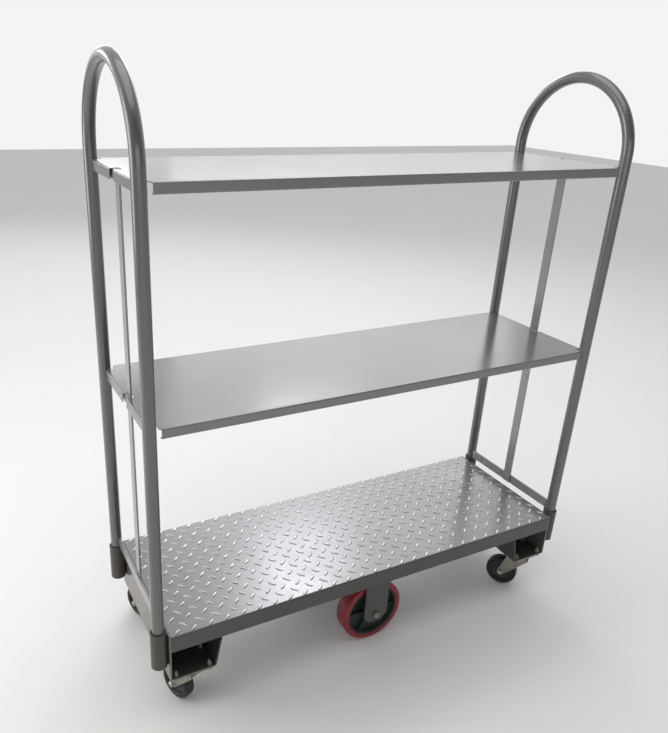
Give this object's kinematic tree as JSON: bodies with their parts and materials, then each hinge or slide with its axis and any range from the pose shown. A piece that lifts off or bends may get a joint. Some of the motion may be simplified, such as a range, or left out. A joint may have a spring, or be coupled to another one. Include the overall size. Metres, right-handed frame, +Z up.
{
  "type": "platform trolley",
  "caption": "Long platform trolley with a tread-plate deck, hooped tube handles at both ends, lift-off tray shelves, swivel casters and fixed middle wheels.",
  "frame": {"origin": "on the floor, under the middle of the deck", "axes": "+X along the deck, +Y across it, +Z up from the floor"},
  "size_m": [1.39, 0.4912, 1.6317],
  "materials": {
    "deck_grey": "satin, tread-plate lugs",
    "chassis_grey": "satin powder coat",
    "frame_grey": "gloss powder coat",
    "shelf_grey": "gloss powder coat",
    "zinc": "zinc plated",
    "caster_tyre": "matt rubber",
    "caster_core": "moulded",
    "wheel_tread": "satin polyurethane",
    "wheel_core": "painted casting"
  },
  "bodies": {
    "chassis": {"deck_plate": "deck_grey", "side_rail_front": "chassis_grey", "side_rail_rear": "chassis_grey", "end_plate_left": "chassis_grey", "end_plate_right": "chassis_grey", "caster_channel_left": "chassis_grey", "caster_channel_right": "chassis_grey", "wheel_hanger_front_outer": "chassis_grey", "wheel_hanger_front_inner": "chassis_grey", "wheel_hanger_rear_outer": "chassis_grey", "wheel_hanger_rear_inner": "chassis_grey", "handle_left": "frame_grey", "handle_right": "frame_grey", "crossbar_low_left": "frame_grey", "crossbar_low_right": "frame_grey", "crossbar_middle_left": "frame_grey", "crossbar_middle_right": "frame_grey", "crossbar_upper_left": "frame_grey", "crossbar_upper_right": "frame_grey", "centre_strip_left": "frame_grey", "centre_strip_right": "frame_grey", "socket_left_front": "frame_grey", "socket_left_rear": "frame_grey", "socket_right_front": "frame_grey", "socket_right_rear": "frame_grey", "caster_plate_left_front": "zinc", "caster_plate_right_front": "zinc", "caster_plate_left_rear": "zinc", "caster_plate_right_rear": "zinc", "caster_bolts": "zinc", "caster_nuts": "zinc", "middle_axle_front": "zinc", "middle_axle_rear": "zinc"},
    "shelf_middle": {"shelf_middle": "shelf_grey"},
    "shelf_upper": {"shelf_upper": "shelf_grey"},
    "fork_left_front": {"caster_fork_left_front": "zinc", "caster_axle_left_front": "zinc"},
    "wheel_left_front": {"caster_core_left_front": "caster_core", "caster_tyre_left_front": "caster_tyre"},
    "fork_right_front": {"caster_fork_right_front": "zinc", "caster_axle_right_front": "zinc"},
    "wheel_right_front": {"caster_core_right_front": "caster_core", "caster_tyre_right_front": "caster_tyre"},
    "fork_left_rear": {"caster_fork_left_rear": "zinc", "caster_axle_left_rear": "zinc"},
    "wheel_left_rear": {"caster_core_left_rear": "caster_core", "caster_tyre_left_rear": "caster_tyre"},
    "fork_right_rear": {"caster_fork_right_rear": "zinc", "caster_axle_right_rear": "zinc"},
    "wheel_right_rear": {"caster_core_right_rear": "caster_core", "caster_tyre_right_rear": "caster_tyre"},
    "middle_wheel_front": {"middle_core_front": "wheel_core", "middle_tyre_front": "wheel_tread"},
    "middle_wheel_rear": {"middle_core_rear": "wheel_core", "middle_tyre_rear": "wheel_tread"}
  },
  "joints": [
    {"name": "caster_swivel_left_front", "type": "hinge", "parent": "chassis", "child": "fork_left_front", "pos_m": [-0.589, -0.178, 0.13], "axis": [0, 0, 1], "continuous": true},
    {"name": "caster_roll_left_front", "type": "hinge", "parent": "fork_left_front", "child": "wheel_left_front", "pos_m": [-0.60439, -0.13571, 0.0508], "axis": [-0.9397, -0.342, 0], "continuous": true},
    {"name": "caster_swivel_right_front", "type": "hinge", "parent": "chassis", "child": "fork_right_front", "pos_m": [0.589, -0.178, 0.13], "axis": [0, 0, 1], "continuous": true},
    {"name": "caster_roll_right_front", "type": "hinge", "parent": "fork_right_front", "child": "wheel_right_front", "pos_m": [0.56384, -0.14069, 0.0508], "axis": [-0.829, -0.5592, 0], "continuous": true},
    {"name": "caster_swivel_left_rear", "type": "hinge", "parent": "chassis", "child": "fork_left_rear", "pos_m": [-0.589, 0.178, 0.13], "axis": [0, 0, 1], "continuous": true},
    {"name": "caster_roll_left_rear", "type": "hinge", "parent": "fork_left_rear", "child": "wheel_left_rear", "pos_m": [-0.60586, 0.21972, 0.0508], "axis": [-0.9272, -0.3746, 0], "continuous": true},
    {"name": "caster_swivel_right_rear", "type": "hinge", "parent": "chassis", "child": "fork_right_rear", "pos_m": [0.589, 0.178, 0.13], "axis": [0, 0, 1], "continuous": true},
    {"name": "caster_roll_right_rear", "type": "hinge", "parent": "fork_right_rear", "child": "wheel_right_rear", "pos_m": [0.56787, 0.21773, 0.0508], "axis": [-0.8829, -0.4695, 0], "continuous": true},
    {"name": "middle_roll_front", "type": "hinge", "parent": "chassis", "child": "middle_wheel_front", "pos_m": [0, -0.1565, 0.102], "axis": [0, 1, 0], "continuous": true},
    {"name": "middle_roll_rear", "type": "hinge", "parent": "chassis", "child": "middle_wheel_rear", "pos_m": [0, 0.1565, 0.102], "axis": [0, 1, 0], "continuous": true},
    {"name": "lift_shelf_middle", "type": "slide", "parent": "chassis", "child": "shelf_middle", "axis": [0, 0, 1], "range_m": [0, 0.045]},
    {"name": "lift_shelf_upper", "type": "slide", "parent": "chassis", "child": "shelf_upper", "axis": [0, 0, 1], "range_m": [0, 0.045]}
  ]
}
